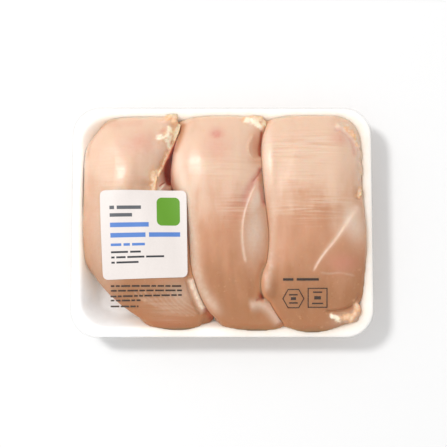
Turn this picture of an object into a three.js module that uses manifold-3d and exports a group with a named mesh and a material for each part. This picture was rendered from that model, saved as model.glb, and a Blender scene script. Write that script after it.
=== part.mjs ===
// A sealed retail pack of three raw chicken breasts, boneless and skinless.
// A white foam tray holds the breasts side by side, heads at the back and tails at the front.
// Clear stretch film lies taut over meat and rim, and runs down the walls to the foot of the tray.
// A paper label is stuck on the film, above the breast on the left.
// Millimetres, +Z up, +X to the right, +Y to the back. The origin is the middle of the tray's foot.

import * as THREE from "three";
import { mergeVertices } from "three/addons/utils/BufferGeometryUtils.js";
import Module from "manifold-3d";

// Foam tray
const TRAY_LENGTH = 240;
const TRAY_WIDTH = 184;
const TRAY_HEIGHT = 32;
const TRAY_CORNER = 22;
const FLOOR_TOP = 4;
const FOOT_RECESS = 1.6;

// Inside of the tray, from the floor's edge up to the crown of the rim: inset from the rim, height.
const INNER_WALL = [
  [26, FLOOR_TOP],
  [21.8, 4.8],
  [18.5, 7.5],
  [9.5, 28.4],
  [8.2, 30.6],
  [6.4, 31.7],
  [4, TRAY_HEIGHT],
];

// Outside of the tray, from the crown of the rim down to the ring-shaped foot.
const OUTER_WALL = [
  [1.5, 31.7],
  [0.3, 30.7],
  [0, 29.5],
  [0.3, 28.2],
  [1.5, 27.4],
  [5.6, 27.1],
  [7.2, 25.8],
  [15.2, 7],
  [17.4, 2.2],
  [19.6, 0.5],
  [22.5, 0],
  [34, 0],
  [36.4, FOOT_RECESS],
];

// Steps round a rounded rectangle, in each corner's arc and along each side.
const TRAY_STEPS = { arc: 8, side: 2 };
const FILM_STEPS = { arc: 5, side: 7 };
const LABEL_STEPS = { arc: 3, side: 5 };

// Breasts: edges and crest at eight evenly spaced sections, from the thick head to the thin tail.
const REST_HEIGHT = FLOOR_TOP + 0.4;
const BREASTS = [
  {
    name: "breast_left",
    head: 85.5,
    tail: -87.5,
    tailBluntness: 2.4,
    leftEdge: [-100, -109.5, -112, -112, -111, -108, -95, -76],
    rightEdge: [-25, -37, -47, -34, -24, -16, -2, 6],
    crest: [36, 41.5, 43, 42.5, 41, 38.5, 36, 35],
    middleLine: [30, 28, 26, 26, 26, 26, 28, 33],
  },
  {
    name: "breast_middle",
    head: 86,
    tail: -87.5,
    tailBluntness: 2.7,
    leftEdge: [-39, -39, -41.5, -33.5, -27.5, -26.5, -23, -21],
    rightEdge: [40, 35, 36, 38, 40, 42, 54, 76],
    crest: [37, 43, 45, 44.5, 42.5, 40, 37, 35],
    middleLine: [31, 30, 29, 29, 29, 29, 30, 33.5],
  },
  {
    name: "breast_right",
    head: 86.5,
    tail: -89,
    tailBluntness: 2.7,
    leftEdge: [30, 29, 31, 33.5, 36.5, 31.5, 28, 34],
    rightEdge: [114, 112, 110, 113.5, 116, 115.5, 115.5, 108],
    crest: [37, 43.5, 45.5, 45, 43.5, 41, 38, 36],
    middleLine: [31.5, 31, 31, 31, 31.5, 31, 31, 33.5],
  },
];

const HEAD_BLUNTNESS = 5;
const CROWN_ROUNDNESS = 2.3;
const UNDERSIDE_SQUARENESS = 4;
const BREAST_STEPS_ALONG = 26;
const BREAST_STEPS_ROUND = 28;

// Film and label
const CLEARANCE = 0.4;
const FILM_LIFT = 0.6;
const FILM_THICKNESS = 0.4;
const FILM_RINGS = 17;
const FILM_CELL = 3;
const RELAXING_SWEEPS = 400;
const OVER_RELAXATION = 1.7;
const LABEL_LENGTH = 69;
const LABEL_WIDTH = 68;
const LABEL_CORNER = 4;
const LABEL_CENTRE = [-62.5, -10.5];
const LABEL_THICKNESS = 0.4;
const LABEL_RINGS = 6;

const HALF_LENGTH = TRAY_LENGTH / 2;
const HALF_WIDTH = TRAY_WIDTH / 2;

const foam = new THREE.MeshStandardMaterial({ color: 0xf7f6f4, roughness: 0.75, metalness: 0 });
const meat = new THREE.MeshStandardMaterial({ color: 0xe6b193, roughness: 0.35, metalness: 0 });
const paper = new THREE.MeshStandardMaterial({ color: 0xf3eeee, roughness: 0.6, metalness: 0 });
const clearFilm = new THREE.MeshStandardMaterial({
  color: 0xffffff,
  roughness: 0.08,
  metalness: 0,
  transparent: true,
  opacity: 0.2,
});

const wasm = await Module();
wasm.setup();

function toSolid(geometry) {
  const bare = geometry.clone();
  bare.deleteAttribute("normal");
  bare.deleteAttribute("uv");
  const merged = mergeVertices(bare, 1e-3);
  return new wasm.Manifold(
    new wasm.Mesh({
      numProp: 3,
      vertProperties: merged.attributes.position.array,
      triVerts: new Uint32Array(merged.index.array),
    }),
  );
}

function toGeometry(solid) {
  const mesh = solid.getMesh();
  const geometry = new THREE.BufferGeometry();
  geometry.setAttribute("position", new THREE.BufferAttribute(mesh.vertProperties, 3));
  geometry.setIndex(new THREE.BufferAttribute(mesh.triVerts, 1));
  geometry.computeVertexNormals();
  return geometry;
}

function asMesh(name, geometry, material) {
  const mesh = new THREE.Mesh(geometry, material);
  mesh.name = name;
  return mesh;
}

// The point at a step round a rounded rectangle, counter-clockwise from the right-hand side.
function outlinePoint(step, steps, halfX, halfY, corner) {
  const quarterSteps = steps.arc + steps.side;
  const quarter = Math.floor(step / quarterSteps) % 4;
  const within = step % quarterSteps;
  const onArc = (turn, part) => {
    const angle = ((turn + part) * Math.PI) / 2;
    const signX = turn % 4 === 0 || turn % 4 === 3 ? 1 : -1;
    const signY = turn % 4 < 2 ? 1 : -1;
    return new THREE.Vector2(
      signX * (halfX - corner) + corner * Math.cos(angle),
      signY * (halfY - corner) + corner * Math.sin(angle),
    );
  };
  if (within <= steps.arc) return onArc(quarter, within / steps.arc);
  const along = (within - steps.arc) / steps.side;
  return onArc(quarter, 1).lerp(onArc(quarter + 1, 0), along);
}

// A turned shape whose circles become rounded rectangles. Each profile point is an outline at an
// inset, scaled towards the axis, with a height that is a number or depends on the place.
function roundedTurning(profile, steps, halfX, halfY, corner) {
  const stepCount = 4 * (steps.arc + steps.side);
  const turned = new THREE.LatheGeometry(
    profile.map((point, index) => new THREE.Vector2(point.scale === 0 ? 0 : 1, index)),
    stepCount,
  );
  const position = turned.getAttribute("position");
  for (let step = 0; step <= stepCount; step++) {
    profile.forEach(({ inset, scale, height }, index) => {
      const edge = outlinePoint(step % stepCount, steps, halfX - inset, halfY - inset, corner);
      const x = edge.x * scale;
      const y = edge.y * scale;
      const z = typeof height === "function" ? height(x, y) : height;
      position.setXYZ(step * profile.length + index, x, y, z);
    });
  }
  return turned;
}

const level = ([inset, height]) => ({ inset, scale: 1, height });
const onAxis = (height) => ({ inset: 0, scale: 0, height });

function trayGeometry() {
  const profile = [
    onAxis(FOOT_RECESS),
    ...OUTER_WALL.map(level).reverse(),
    ...INNER_WALL.map(level).reverse(),
    onAxis(FLOOR_TOP),
  ];
  return roundedTurning(profile, TRAY_STEPS, HALF_LENGTH, HALF_WIDTH, TRAY_CORNER);
}

// The space that meat can fill: all that is above the inside of the tray, with a small gap to it.
function roomInTray() {
  const roof = 80;
  const profile = [
    onAxis(REST_HEIGHT),
    ...INNER_WALL.map(([inset, height]) => level([inset + CLEARANCE, height + CLEARANCE])),
    level([0, TRAY_HEIGHT + CLEARANCE]),
    level([0, roof]),
    onAxis(roof),
  ];
  return toSolid(roundedTurning(profile, TRAY_STEPS, HALF_LENGTH, HALF_WIDTH, TRAY_CORNER));
}

// A value on a smooth curve through a breast's sections. along is 0 at the head, 1 at the tail.
function sectionValue(values, along) {
  const curve = new THREE.SplineCurve(values.map((value, index) => new THREE.Vector2(index, value)));
  return curve.getPoint(Math.min(1, Math.max(0, along))).y;
}

// Sizes of the cross-section at a place from 1, the head, to -1, the tail.
function crossSection(breast, place, growth) {
  const along = (1 - place) / 2;
  const left = sectionValue(breast.leftEdge, along);
  const right = sectionValue(breast.rightEdge, along);
  const bluntness = place > 0 ? HEAD_BLUNTNESS : breast.tailBluntness;
  const closing = Math.pow(Math.max(0, 1 - Math.abs(place) ** bluntness), 1 / bluntness);
  const middleLine = sectionValue(breast.middleLine, along);
  return {
    centre: (left + right) / 2,
    halfWidth: ((right - left) / 2 + growth) * closing,
    middleLine,
    rise: (sectionValue(breast.crest, along) - middleLine + growth) * closing,
    drop: (middleLine - REST_HEIGHT + growth) * closing,
  };
}

const superellipse = (across, power) =>
  Math.pow(Math.max(0, 1 - Math.abs(across) ** power), 1 / power);

// A breast is a sphere drawn out along its length, domed above and nearly flat below.
function breastGeometry(breast, growth = 0) {
  const sphere = new THREE.SphereGeometry(1, BREAST_STEPS_ROUND, BREAST_STEPS_ALONG);
  const position = sphere.getAttribute("position");
  const middle = (breast.head + breast.tail) / 2;
  const reach = (breast.head - breast.tail) / 2 + growth;
  for (let index = 0; index < position.count; index++) {
    const place = position.getY(index);
    const round = Math.hypot(position.getX(index), position.getZ(index));
    const across = round > 1e-6 ? position.getX(index) / round : 0;
    const above = position.getZ(index) > 0;
    const section = crossSection(breast, place, growth);
    const power = above ? CROWN_ROUNDNESS : UNDERSIDE_SQUARENESS;
    const height = round > 1e-6 ? superellipse(across, power) : 0;
    position.setXYZ(
      index,
      section.centre + section.halfWidth * across,
      middle + reach * place,
      section.middleLine + (above ? section.rise : -section.drop) * height,
    );
  }
  return sphere;
}

// The height of a breast's upper surface over a point, or null beside it.
function breastTop(breast, x, y) {
  const middle = (breast.head + breast.tail) / 2;
  const place = (y - middle) / ((breast.head - breast.tail) / 2);
  if (Math.abs(place) >= 1) return null;
  const section = crossSection(breast, place, 0);
  const across = (x - section.centre) / section.halfWidth;
  if (Math.abs(across) >= 1) return null;
  return section.middleLine + section.rise * superellipse(across, CROWN_ROUNDNESS);
}

// Each breast is pressed into the tray and against the one on its right, which lies over its edge.
function breastSolids() {
  const room = roomInTray();
  return BREASTS.map((breast, index) => {
    const shaped = toSolid(breastGeometry(breast)).intersect(room);
    const neighbour = BREASTS[index + 1];
    return neighbour ? shaped.subtract(toSolid(breastGeometry(neighbour, CLEARANCE))) : shaped;
  });
}

// Heights of the taut film, as a grid that settles until it is held by the rim and by the meat alone.
function tautFilmHeights() {
  const columns = Math.round(TRAY_LENGTH / FILM_CELL) + 1;
  const rows = Math.round(TRAY_WIDTH / FILM_CELL) + 1;
  const rim = TRAY_HEIGHT + CLEARANCE;
  const meatHeights = [];
  for (let row = 0; row < rows; row++) {
    for (let column = 0; column < columns; column++) {
      const x = column * FILM_CELL - HALF_LENGTH;
      const y = row * FILM_CELL - HALF_WIDTH;
      meatHeights.push(Math.max(...BREASTS.map((breast) => breastTop(breast, x, y) ?? 0)));
    }
  }
  // Meat can be steep between two cells, so each cell is held up by the meat of its neighbours too.
  const support = meatHeights.map((height, here) => {
    const around = [-columns - 1, -columns, -columns + 1, -1, 1, columns - 1, columns, columns + 1];
    return Math.max(height, ...around.map((offset) => meatHeights[here + offset] ?? 0)) + FILM_LIFT;
  });
  const heights = support.map((height) => Math.max(height, rim));
  for (let sweep = 0; sweep < RELAXING_SWEEPS; sweep++) {
    for (let row = 1; row < rows - 1; row++) {
      for (let column = 1; column < columns - 1; column++) {
        const here = row * columns + column;
        const mean =
          (heights[here - 1] + heights[here + 1] + heights[here - columns] + heights[here + columns]) / 4;
        const relaxed = heights[here] + OVER_RELAXATION * (mean - heights[here]);
        heights[here] = Math.max(relaxed, support[here], rim);
      }
    }
  }
  return (x, y) => {
    const column = Math.min(columns - 1.001, Math.max(0, (x + HALF_LENGTH) / FILM_CELL));
    const row = Math.min(rows - 1.001, Math.max(0, (y + HALF_WIDTH) / FILM_CELL));
    const corner = Math.floor(row) * columns + Math.floor(column);
    const across = column - Math.floor(column);
    const up = row - Math.floor(row);
    const near = heights[corner] * (1 - across) + heights[corner + 1] * across;
    const far = heights[corner + columns] * (1 - across) + heights[corner + columns + 1] * across;
    return near * (1 - up) + far * up;
  };
}

// Film: taut over the top, round the rim and straight down to the foot, where the tray closes it.
function filmGeometry(filmHeight) {
  const topInset = 2;
  const skirt = [
    [-CLEARANCE, 31],
    [-CLEARANCE, 28.4],
    [15.6, 1.6],
    [17.6, 0.6],
  ];
  const over = (x, y) => filmHeight(x, y) + FILM_THICKNESS;
  const rings = (height) =>
    Array.from({ length: FILM_RINGS }, (_, ring) => ({
      inset: topInset,
      scale: (ring + 1) / FILM_RINGS,
      height,
    }));
  const profile = [
    onAxis(filmHeight),
    ...rings(filmHeight),
    ...skirt.map(level),
    ...skirt.map(([inset, height]) => level([inset - FILM_THICKNESS, height])).reverse(),
    ...rings(over).reverse(),
    onAxis(over),
  ];
  return roundedTurning(profile, FILM_STEPS, HALF_LENGTH, HALF_WIDTH, TRAY_CORNER);
}

// Label: a rounded paper rectangle that follows the film below it.
function labelGeometry(filmHeight) {
  const [centreX, centreY] = LABEL_CENTRE;
  const lift = FILM_THICKNESS + CLEARANCE;
  const under = (x, y) => filmHeight(x + centreX, y + centreY) + lift;
  const over = (x, y) => under(x, y) + LABEL_THICKNESS;
  const rings = (height) =>
    Array.from({ length: LABEL_RINGS }, (_, ring) => ({
      inset: 0,
      scale: (ring + 1) / LABEL_RINGS,
      height,
    }));
  const profile = [
    onAxis(under),
    ...rings(under),
    ...rings(over).reverse(),
    onAxis(over),
  ];
  return roundedTurning(profile, LABEL_STEPS, LABEL_LENGTH / 2, LABEL_WIDTH / 2, LABEL_CORNER);
}

const filmHeight = tautFilmHeights();
const pack = new THREE.Group();

pack.add(asMesh("tray", trayGeometry(), foam));
breastSolids().forEach((solid, index) => {
  pack.add(asMesh(BREASTS[index].name, toGeometry(solid), meat));
});
pack.add(asMesh("film", filmGeometry(filmHeight), clearFilm));

const label = asMesh("label", labelGeometry(filmHeight), paper);
label.position.set(LABEL_CENTRE[0], LABEL_CENTRE[1], 0);
pack.add(label);

export default pack;
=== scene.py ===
import math
import random

import bmesh
import bpy
import numpy as np
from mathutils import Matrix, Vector, noise
from mathutils.bvhtree import BVHTree


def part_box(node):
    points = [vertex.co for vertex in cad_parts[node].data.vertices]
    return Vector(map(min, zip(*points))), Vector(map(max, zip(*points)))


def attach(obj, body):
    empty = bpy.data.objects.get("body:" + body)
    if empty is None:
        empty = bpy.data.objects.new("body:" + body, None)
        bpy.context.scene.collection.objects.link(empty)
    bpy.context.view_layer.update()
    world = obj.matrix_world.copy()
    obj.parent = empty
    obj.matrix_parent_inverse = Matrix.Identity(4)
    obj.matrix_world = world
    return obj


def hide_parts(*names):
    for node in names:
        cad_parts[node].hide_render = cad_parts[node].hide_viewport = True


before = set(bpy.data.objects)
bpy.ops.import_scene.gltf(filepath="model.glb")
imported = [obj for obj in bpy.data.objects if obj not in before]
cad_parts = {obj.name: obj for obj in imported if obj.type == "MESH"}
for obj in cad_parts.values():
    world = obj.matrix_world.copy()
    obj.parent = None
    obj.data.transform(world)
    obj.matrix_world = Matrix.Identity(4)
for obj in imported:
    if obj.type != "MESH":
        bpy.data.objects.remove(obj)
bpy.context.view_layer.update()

MM = 0.001

# Tray. White polystyrene foam sheet, pressed to shape in a heated mould and cut out round the rim.
# The rolled rim carries the film, the walls lean outwards, and it stands on a flat ring-shaped foot.
# Foam has a dense satin skin over its cells: light sinks in a little, and the skin is softly dimpled.
tray_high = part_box("tray")[1]
TRAY_REACH = Vector((tray_high.x, tray_high.y))
TRAY_CORNER = 22 * MM
TRAY_CORNER_STEPS = 9
# Edges longer than this are cut up, so that smoothing doesn't draw the corners in.
LONG_EDGE = 60 * MM
LONG_EDGE_CUTS = 7
LEVEL_FACE = 0.9
RIM_EDGE = {"inset": 0.3 * MM, "low": 28.3 * MM, "high": 30.6 * MM}
# Insets from the outermost edge of the rim, and heights above the foot.
TRAY_INSIDE = [(1.4, 31.6), (3.8, 32), (6.3, 31.7), (8.1, 30.6), (9.3, 28.6), (13.6, 18.9),
               (18, 8.6), (19.6, 6.2), (22.4, 4.6), (26.5, 4), (32, 4)]
TRAY_OUTSIDE = [(1.4, 27.5), (5, 27.1), (6.9, 26.3), (7.8, 24.4), (11.4, 16), (15, 7.4),
                (16.6, 3.4), (18.4, 1.3), (21, 0.4), (24, 0.3), (33, 0.3), (36, 1.7), (42, 1.8)]


def deselect_all():
    if bpy.context.mode != "OBJECT":
        bpy.ops.object.mode_set(mode="OBJECT")
    bpy.ops.object.select_all(action="DESELECT")


def take_up(piece):
    """Makes a piece the one that the next operators work on."""
    deselect_all()
    piece.select_set(True)
    bpy.context.view_layer.objects.active = piece


def apply_modifier(piece, kind, **settings):
    take_up(piece)
    modifier = piece.modifiers.new(kind.lower(), kind)
    for name, value in settings.items():
        setattr(modifier, name, value)
    bpy.ops.object.modifier_apply(modifier=modifier.name)


def settle_in_place(piece):
    """Puts a finished piece's place into its mesh, so that its object sits at the origin."""
    take_up(piece)
    bpy.ops.object.transform_apply(location=True, rotation=True, scale=True)


def pick(piece, part, test):
    """In edit mode, selects just the faces or edges that pass the test."""
    bpy.ops.mesh.select_all(action="DESELECT")
    mode = {"edges": "EDGE", "faces": "FACE"}[part]
    bpy.ops.mesh.select_mode(type=mode)
    mesh = bmesh.from_edit_mesh(piece.data)
    for element in getattr(mesh, part):
        element.select_set(bool(test(element)))
    bmesh.update_edit_mesh(piece.data)


def draw_out(extrude, steps, inset, height):
    """Extrudes what is selected through rings, each at its own inset from the rim's edge and height."""
    for next_inset, next_height in steps:
        now = TRAY_REACH - Vector((inset, inset))
        inset, rise, height = next_inset * MM, next_height * MM - height, next_height * MM
        then = TRAY_REACH - Vector((inset, inset))
        extrude(TRANSFORM_OT_translate={"value": (0, 0, rise)})
        bpy.ops.transform.resize(value=(then.x / now.x, then.y / now.y, 1), center_override=(0, 0, 0))


deselect_all()
rim_middle = (RIM_EDGE["low"] + RIM_EDGE["high"]) / 2
rim_reach = TRAY_REACH - Vector((RIM_EDGE["inset"], RIM_EDGE["inset"]))
bpy.ops.mesh.primitive_cube_add(size=2, location=(0, 0, rim_middle))
tray = bpy.context.object
tray.name = "foam_tray"
tray.scale = (rim_reach.x, rim_reach.y, (RIM_EDGE["high"] - RIM_EDGE["low"]) / 2)
settle_in_place(tray)
bpy.ops.object.mode_set(mode="EDIT")
pick(tray, "edges", lambda edge: abs(edge.verts[0].co.z - edge.verts[1].co.z) > MM)
bpy.ops.mesh.bevel(offset=TRAY_CORNER, offset_type="OFFSET", segments=TRAY_CORNER_STEPS)
pick(tray, "faces", lambda face: face.normal.z > LEVEL_FACE)
draw_out(bpy.ops.mesh.extrude_region_move, TRAY_INSIDE, RIM_EDGE["inset"], RIM_EDGE["high"])
pick(tray, "faces", lambda face: face.normal.z < -LEVEL_FACE and face.calc_center_median().z < rim_middle)
draw_out(bpy.ops.mesh.extrude_region_move, TRAY_OUTSIDE, RIM_EDGE["inset"], RIM_EDGE["low"])
pick(tray, "edges", lambda edge: edge.calc_length() > LONG_EDGE)
bpy.ops.mesh.subdivide(number_cuts=LONG_EDGE_CUTS)
bpy.ops.object.mode_set(mode="OBJECT")
apply_modifier(tray, "SUBSURF", levels=1, render_levels=1)
bpy.ops.object.shade_smooth()


class Socket:
    """A socket of a material's nodes, wrapped so that maths on it is written as a plain expression."""

    def __init__(self, tree, socket=None):
        self.tree = tree
        self.socket = socket

    def node(self, kind, settings=None, values=None, output=0):
        """Adds a node: its settings come first, then the value or the link of each of its sockets."""
        node = self.tree.nodes.new(kind)
        for name, value in (settings or {}).items():
            setattr(node, name, value)
        for name, value in (values or {}).items():
            if isinstance(value, Socket):
                self.tree.links.new(value.socket, node.inputs[name])
            else:
                node.inputs[name].default_value = value
        return Socket(self.tree, node.outputs[output] if len(node.outputs) else None)

    def maths(self, operation, first, second):
        return self.node("ShaderNodeMath", {"operation": operation}, {0: first, 1: second})

    def __add__(self, other):
        return self.maths("ADD", self, other)

    def __sub__(self, other):
        return self.maths("SUBTRACT", self, other)

    def __rsub__(self, other):
        return self.maths("SUBTRACT", other, self)

    def __mul__(self, other):
        return self.maths("MULTIPLY", self, other)

    def __pow__(self, other):
        return self.maths("POWER", self, other)

    __radd__ = __add__
    __rmul__ = __mul__

    def ramp(self, low, high):
        """0 below low and 1 above high, with a soft passage between them."""
        settings = {"interpolation_type": "SMOOTHSTEP"}
        return self.node("ShaderNodeMapRange", settings, {0: self, 1: low, 2: high})

    def mix(self, first, second):
        """The first colour where this is 0, and the second where it is 1."""
        return self.node("ShaderNodeMix", {"data_type": "RGBA"}, {0: self, 6: first, 7: second}, 2)


def new_material(name):
    """A material with no nodes yet, and the place that its first ones are added from."""
    material = bpy.data.materials.new(name)
    material.use_nodes = True
    material.node_tree.nodes.clear()
    return material, Socket(material.node_tree)


def finish_material(sheet, surface):
    sheet.node("ShaderNodeOutputMaterial", None, {"Surface": surface})


def grain(sheet, per_mm, detail=3, roughness=0.5, distortion=0):
    """Noise on Object coordinates, with its number of bumps in a millimetre along X, Y and Z."""
    place = sheet.node("ShaderNodeTexCoord", output=3)
    stretch = tuple(count / MM for count in per_mm)
    stretched = sheet.node("ShaderNodeMapping", None, {"Vector": place, "Scale": stretch})
    values = {"Vector": stretched, "Scale": 1, "Detail": detail, "Roughness": roughness,
              "Distortion": distortion}
    return sheet.node("ShaderNodeTexNoise", None, values)


FOAM_WHITE = (0.95, 0.95, 0.94, 1)
FOAM_SHADE = (0.92, 0.92, 0.91, 1)
# Painted bounce light and shade from the meat, laid on the foam beside it.
FOAM_DAMP = (0.93, 0.71, 0.57, 1)

foam, sheet = new_material("white_foam")
cells = grain(sheet, (0.9, 0.9, 0.9), detail=2)
dimples = grain(sheet, (0.16, 0.16, 0.16), detail=2)
skin = sheet.node("ShaderNodeBump", None, {"Strength": 0.35, "Distance": 0.25 * MM,
                                           "Height": cells * 0.5 + dimples})
dry = dimples.ramp(0.35, 0.65).mix(FOAM_SHADE, FOAM_WHITE)
# Where the painted bounce light and shade from the meat lies, strongest right beside the meat.
damp = sheet.node("ShaderNodeAttribute", {"attribute_name": "damp"}, output=2)
finish_material(sheet, sheet.node("ShaderNodeBsdfPrincipled", None, {
    "Base Color": (damp * (dimples * 0.6 + 0.4)).mix(dry, FOAM_DAMP),
    "Roughness": cells * 0.2 + 0.5,
    "Subsurface Weight": 0.9,
    "Subsurface Scale": 9 * MM,
    "Subsurface Radius": (1, 0.97, 0.93),
    "IOR": 1.4,
    "Normal": skin,
}))
tray.data.materials.append(foam)
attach(tray, "root")
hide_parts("tray")

# Some of the marks laid on the surface also paint light or shade: shade in gaps, folds and contacts, and
# highlights on a few flanks.
# Breasts. Whole raw muscle, skinned and boned, pressed side by side into the tray: thick heads at the
# back, thin tails at the front, and each one lying over the edge of the one on its left.
# Each starts from its solid, and is then worked like clay: folds, torn edges, sinews and lumps of fat.
# Squares of the even skin, rounds of smoothing for the body and for the fat, and how far the skin is
# swelled out again after them.
VOXEL = 0.75 * MM
BODY_SOFTENING = 46
FAT_SOFTENING = 10
SWELLING = 0.25 * MM
WELD = 0.01 * MM
# Flanks closer than the first distance are pressed together, and the pull ends at the second one.
PRESSED_GAPS = (1.8 * MM, 4.5 * MM)
PRESSED_ABOVE = 17 * MM
CONTACT_GAP = 0.06 * MM
# A flank that faces further down than this hangs over its neighbour.
OVERHANG = -0.3
LARGEST_OVERLAP = 7 * MM
LARGEST_SINKING = 1.5 * MM
# How far from the meat the painted bounce light and shade reaches on the foam, and the height below which
# none is painted.
DAMP_REACH = 16 * MM
DAMP_ABOVE = 3 * MM
RAY_HEIGHT = 100 * MM
# Lumps of fat: how far they turn off their string's line in degrees, their sizes and lengths as factors,
# their flatness, and how high in mm they sit where they miss the meat.
LUMP_TURN = 40
LUMP_SIZES = (0.6, 1.2)
LUMP_LENGTHS = (1.3, 2.4)
LUMP_FLATNESS = 0.5
EDGE_HEIGHT = 33.5
# The mark of a lump spreads past the lump by the first factor, as strongly as the second.
LUMP_MARK = (1.3, 0.8)
# A spot is lifted, or marked, not at all where it faces up less than the first value, and in full where
# it faces up more than the second.
LIFTED_FACING = (0, 0.5)
MARKED_FACING = (-0.35, 0.2)
STROKE_END = 0.12
LEAST_WEIGHT = 0.02
# Marks that the material reads. The dark red in gaps and the warm red along pressed flanks are painted
# shade.
# The orange-brown, the white of sinew and the pale of fascia are partly the meat's own colour and partly
# painted light and shade.
MARKS = ("fat", "sinew", "blush", "deep", "pale", "tan", "wrinkle", "crease", "cream")
# Low relief: height in mm, size of its grain in mm along X, Y and Z, and the mark that it keeps to.
RELIEF = [(0.5, (22, 40, 22), None), (0.1, (6, 24, 9), None), (0.35, (18, 2.2, 18), "wrinkle"),
          (0.8, (3.5, 3.5, 3.5), "fat"), (0.5, (2.5, 2.5, 2.5), "cream")]
RELIEF_NOISE = (0.8, 2, 2)
SEED = 11


def smooth_step(low, high, value):
    part = np.clip((value - low) / (high - low), 0, 1)
    return part * part * (3 - 2 * part)


def read_vectors(collection, name):
    values = np.zeros(len(collection) * 3, np.float32)
    collection.foreach_get(name, values)
    return values.reshape(-1, 3).astype(float)


def write_spots(piece, spots):
    piece.data.vertices.foreach_set("co", spots.astype(np.float32).ravel())
    piece.data.update()


def surface_below(pieces):
    """A search tree of the pieces' surfaces, for dropping points on them."""
    spots, faces = [], []
    for piece in pieces:
        start = len(spots)
        spots.extend(vertex.co.copy() for vertex in piece.data.vertices)
        faces.extend([start + index for index in face.vertices] for face in piece.data.polygons)
    return BVHTree.FromPolygons(spots, faces)


def drop_on(tree, x, y, missing):
    """The height of the surface under or over a spot."""
    hit = tree.ray_cast(Vector((x, y, RAY_HEIGHT)), Vector((0, 0, -1)))[0]
    return hit.z if hit else missing


def smooth_line(points, steps=10):
    """Spots along a Catmull-Rom curve through the points."""
    ends = [2 * np.array(points[0]) - points[1], 2 * np.array(points[-1]) - points[-2]]
    knots = np.array([ends[0], *points, ends[1]], float)
    spots = []
    for a, b, c, d in zip(knots, knots[1:], knots[2:], knots[3:]):
        for step in range(steps):
            t = step / steps
            spots.append(0.5 * (2 * b + (c - a) * t + (2 * a - 5 * b + 4 * c - d) * t * t
                                + (3 * b - a - 3 * c + d) * t ** 3))
    return np.array([*spots, knots[-2]])


class Bench:
    """A breast on the bench: its surface in mm, how far each spot is lifted, and the marks on it."""

    def __init__(self, piece):
        self.piece = piece
        self.spots = read_vectors(piece.data.vertices, "co") / MM
        facing = read_vectors(piece.data.vertex_normals, "vector")
        self.upper = smooth_step(*LIFTED_FACING, facing[:, 2])
        self.seen = smooth_step(*MARKED_FACING, facing[:, 2])
        self.lift = np.zeros(len(self.spots))
        self.marks = {name: np.zeros(len(self.spots)) for name in MARKS}

    def add(self, weight, lift, marks):
        self.lift += weight * lift
        for name, amount in marks.items():
            self.marks[name] = np.maximum(self.marks[name], weight * amount)

    def patch(self, centre, reach, turn=0, lift=0, **marks):
        """A soft-edged oval, turned by an angle in degrees."""
        x, y = (self.spots[:, :2] - centre).T
        cos, sin = math.cos(math.radians(turn)), math.sin(math.radians(turn))
        along, across = (x * cos + y * sin) / reach[0], (y * cos - x * sin) / reach[1]
        self.add(np.exp(-(along ** 2 + across ** 2)), lift, marks)

    def stroke(self, points, width, lift=0, step=0, fade=9, **marks):
        """A line pressed in or raised, as wide as one width or from one to another along its length.
        A step lowers the side on the right of the line, and fades out."""
        line = smooth_line(points)
        nearest = np.full(len(self.spots), 1e9)
        place = np.zeros(len(self.spots))
        side = np.zeros(len(self.spots))
        for index, (start, end) in enumerate(zip(line, line[1:])):
            run = end - start
            away = self.spots[:, :2] - start
            part = np.clip(away @ run / (run @ run), 0, 1)
            gap = np.hypot(*(away - part[:, None] * run).T)
            closer = gap < nearest
            nearest[closer] = gap[closer]
            place[closer] = (index + part[closer]) / (len(line) - 1)
            side[closer] = np.sign(run[0] * away[closer, 1] - run[1] * away[closer, 0])
        ends = smooth_step(0, STROKE_END, place) * smooth_step(0, STROKE_END, 1 - place)
        if isinstance(width, tuple):
            width = width[0] + (width[1] - width[0]) * place
        self.add(np.exp(-((nearest / width) ** 2)) * ends, lift, marks)
        right = smooth_step(-width / 2, width / 2, -side * nearest)
        self.lift -= step * right * np.exp(-((nearest / fade) ** 2)) * ends

    def swell(self, height, grain_mm, mark):
        """Uneven low relief, everywhere or just where a mark is."""
        weight = self.marks[mark] if mark else np.ones(len(self.spots))
        for index in np.flatnonzero(weight > LEAST_WEIGHT):
            relief = noise.fractal(Vector(self.spots[index] / grain_mm), *RELIEF_NOISE)
            self.lift[index] += weight[index] * height * relief

    def done(self):
        """Moves the surface, and keeps the marks for the material."""
        self.spots[:, 2] += self.lift * self.upper
        write_spots(self.piece, self.spots * MM)
        for name, values in self.marks.items():
            layer = self.piece.data.attributes.new(name, "FLOAT", "POINT")
            layer.data.foreach_set("value", (values * self.seen).astype(np.float32))


def join_lumps(piece, lumps, softening):
    """Adds egg-shaped lumps to a piece, and makes all of it one even skin."""
    take_up(piece)
    bpy.ops.object.mode_set(mode="EDIT")
    for place, reach, turn, *_ in lumps:
        bpy.ops.mesh.select_all(action="DESELECT")
        bpy.ops.mesh.primitive_ico_sphere_add(
            subdivisions=3,
            radius=1,
            location=Vector(place) * MM,
            rotation=(0, 0, math.radians(turn)),
            scale=Vector(reach) * MM,
        )
    bpy.ops.object.mode_set(mode="OBJECT")
    apply_modifier(piece, "REMESH", mode="VOXEL", voxel_size=VOXEL)
    apply_modifier(piece, "SMOOTH", factor=0.5, iterations=softening)


def string_lumps(tree, strings, chance):
    """Small uneven lumps along each string's line, half sunk in the surface below them."""
    lumps = []
    for mark_name, points, spread, size, count in strings:
        line = smooth_line(points)
        for number in range(count):
            index = int((number + chance.random()) / count * (len(line) - 1))
            x, y = line[index] + [chance.uniform(-spread, spread), chance.uniform(-spread, spread)]
            ground = drop_on(tree, x * MM, y * MM, EDGE_HEIGHT * MM) / MM
            run = line[index + 1] - line[index]
            turn = math.degrees(math.atan2(run[1], run[0])) + chance.uniform(-LUMP_TURN, LUMP_TURN)
            radius = size * chance.uniform(*LUMP_SIZES)
            reach = (radius * chance.uniform(*LUMP_LENGTHS), radius, radius * LUMP_FLATNESS)
            lumps.append(((x, y, ground), reach, turn, mark_name))
    return lumps


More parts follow.
